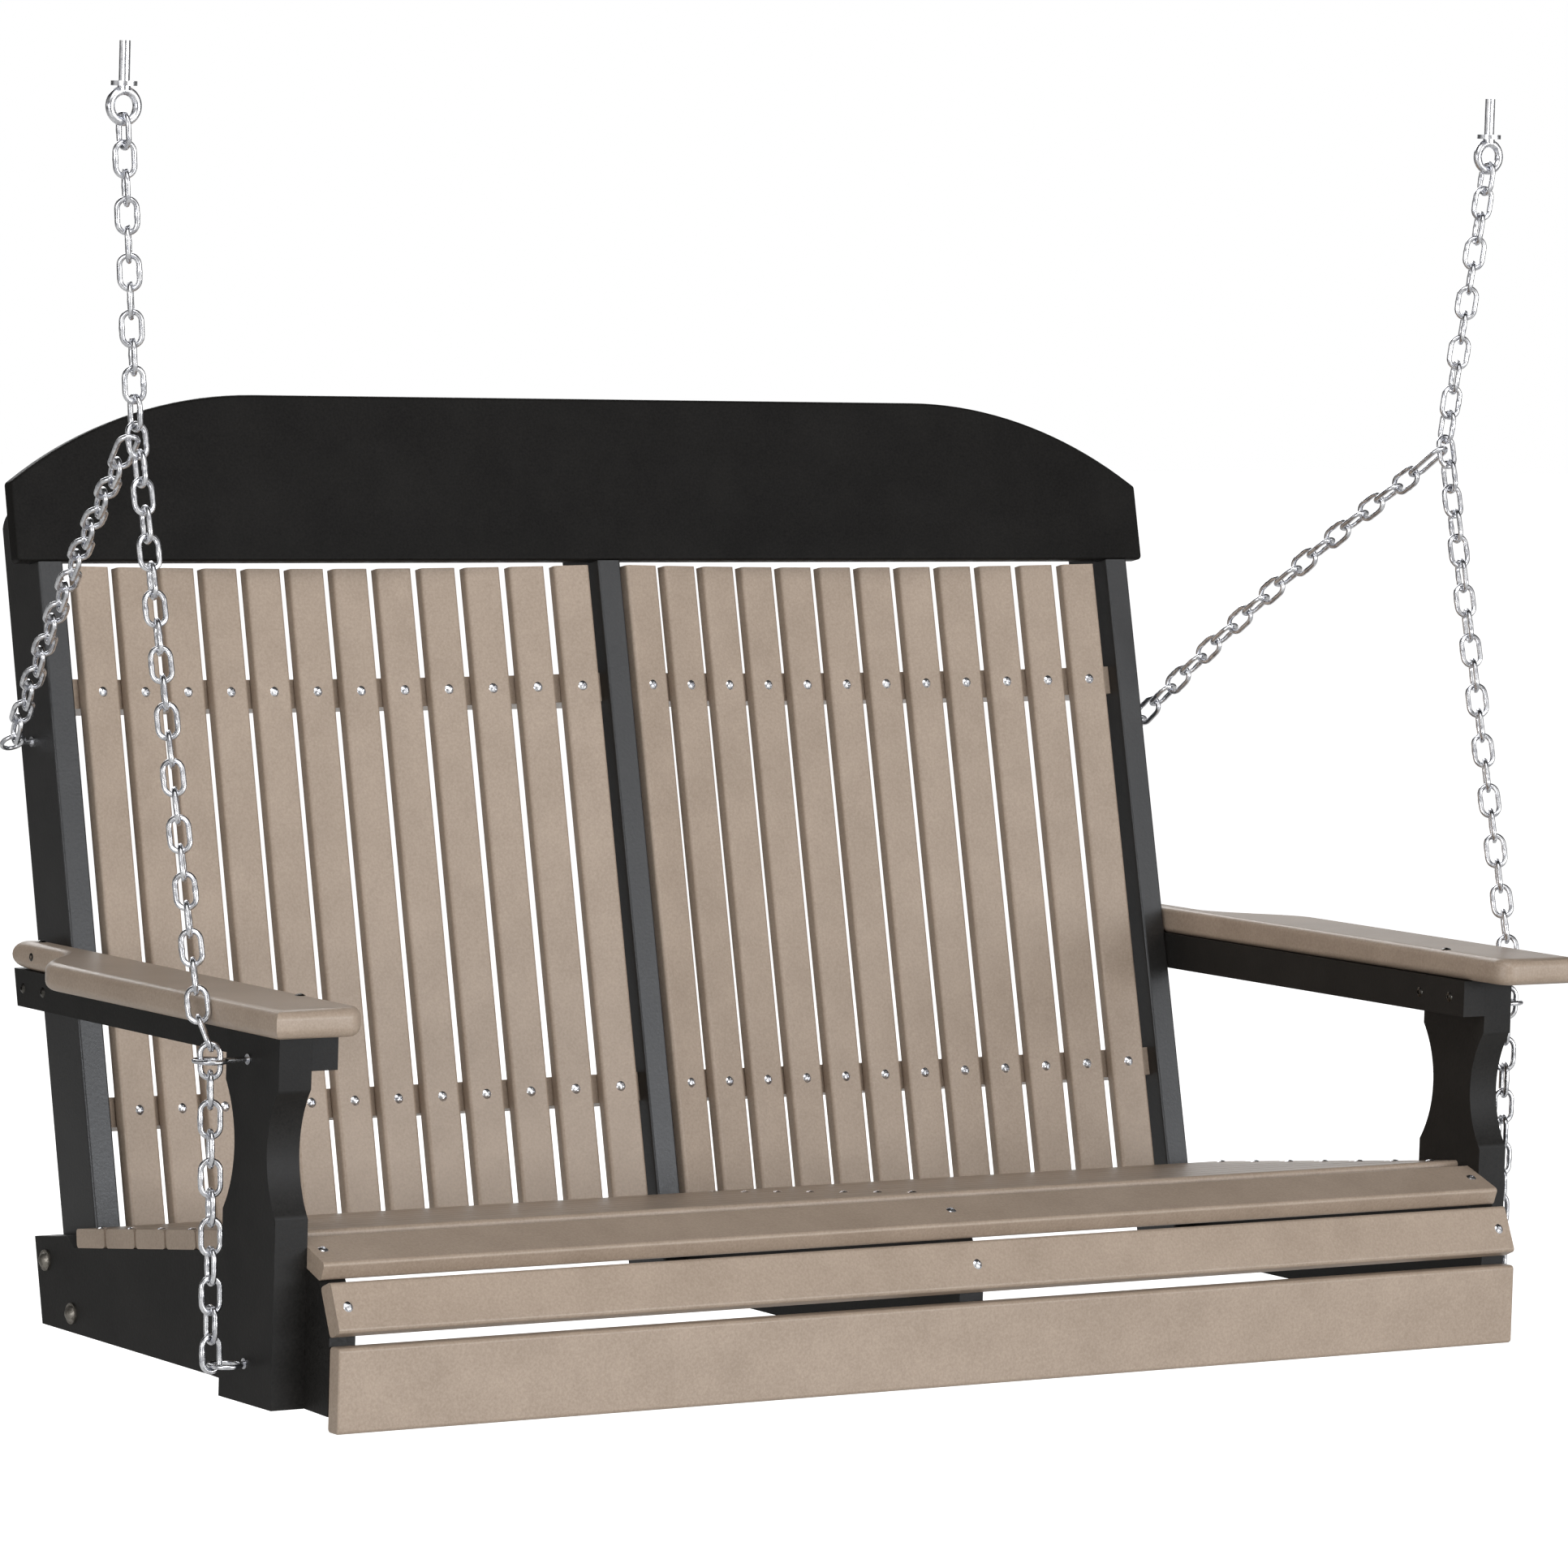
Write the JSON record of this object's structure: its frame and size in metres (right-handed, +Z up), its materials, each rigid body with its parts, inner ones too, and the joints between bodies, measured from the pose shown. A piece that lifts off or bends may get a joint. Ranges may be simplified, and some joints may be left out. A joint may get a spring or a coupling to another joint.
{
  "type": "porch swing seat",
  "caption": "Highback porch swing seat of two-tone slatted lumber boards, hung by chain bridles from a pair of ceiling hooks.",
  "frame": {"origin": "midway between the two ceiling hooks, on the plane of their shoulders, which seats against the beam", "axes": "+X along the bench to the viewer's right, +Y to its back, +Z up"},
  "size_m": [1.517, 0.6806, 1.1585],
  "materials": {
    "zinc_steel": "bright zinc plate",
    "dark_lumber": "matt, fine mottled grain",
    "tan_lumber": "matt, fine mottled grain"
  },
  "bodies": {
    "ceiling_hooks": {"ceiling_hook_left": "zinc_steel", "ceiling_hook_right": "zinc_steel"},
    "main_chains": {"main_chain_left": "zinc_steel", "main_chain_right": "zinc_steel"},
    "bench": {"front_chain_left": "zinc_steel", "front_chain_right": "zinc_steel", "rear_chain_left": "zinc_steel", "rear_chain_right": "zinc_steel", "snap_hook_left": "zinc_steel", "snap_hook_right": "zinc_steel", "arm_eye_left": "zinc_steel", "arm_eye_right": "zinc_steel", "seat_eye_left": "zinc_steel", "seat_eye_right": "zinc_steel", "rear_eye_left": "zinc_steel", "rear_eye_right": "zinc_steel", "seat_screws": "zinc_steel", "back_screws": "zinc_steel", "arm_screws": "zinc_steel", "crest_screws": "zinc_steel", "rail_bolts": "zinc_steel", "front_post_left": "dark_lumber", "front_post_right": "dark_lumber", "arm_rail_left": "dark_lumber", "arm_rail_right": "dark_lumber", "seat_rail_left": "dark_lumber", "seat_rail_centre": "dark_lumber", "seat_rail_right": "dark_lumber", "back_upright_left": "dark_lumber", "back_upright_centre": "dark_lumber", "back_upright_right": "dark_lumber", "crest_board": "dark_lumber", "arm_board_left": "tan_lumber", "arm_board_right": "tan_lumber", "upper_cross_rail_left": "tan_lumber", "upper_cross_rail_right": "tan_lumber", "lower_cross_rail_left": "tan_lumber", "lower_cross_rail_right": "tan_lumber", "back_slats_left": "tan_lumber", "back_slats_right": "tan_lumber", "fascia_board": "tan_lumber", "drop_slat": "tan_lumber", "nose_slat": "tan_lumber", "seat_slat_1": "tan_lumber", "seat_slat_2": "tan_lumber", "seat_slat_3": "tan_lumber", "seat_slat_4": "tan_lumber", "seat_slat_5": "tan_lumber", "seat_slat_6": "tan_lumber", "seat_slat_7": "tan_lumber"},
    "gate_left": {"snap_gate_left": "zinc_steel"},
    "gate_right": {"snap_gate_right": "zinc_steel"}
  },
  "joints": [
    {"name": "swing", "type": "hinge", "parent": "ceiling_hooks", "child": "main_chains", "pos_m": [0, 0, -0.034], "axis": [1, 0, 0], "range_deg": [-25, 25], "stiffness_Nm_per_rad": 60, "springref_deg": 57.5},
    {"name": "bench_tilt", "type": "hinge", "parent": "main_chains", "child": "bench", "pos_m": [0, 0.01539, -0.28565], "axis": [1, 0, 0], "range_deg": [-22, 22], "stiffness_Nm_per_rad": 60, "springref_deg": 51.41},
    {"name": "gate_left_open", "type": "hinge", "parent": "bench", "child": "gate_left", "pos_m": [-0.72559, 0.03649, -0.32016], "axis": [0.136, 0.5906, 0.7955], "range_deg": [0, 25], "stiffness_Nm_per_rad": 0.05},
    {"name": "gate_right_open", "type": "hinge", "parent": "bench", "child": "gate_right", "pos_m": [0.69222, 0.03268, -0.32016], "axis": [-0.136, 0.5906, 0.7955], "range_deg": [0, 25], "stiffness_Nm_per_rad": 0.05}
  ]
}
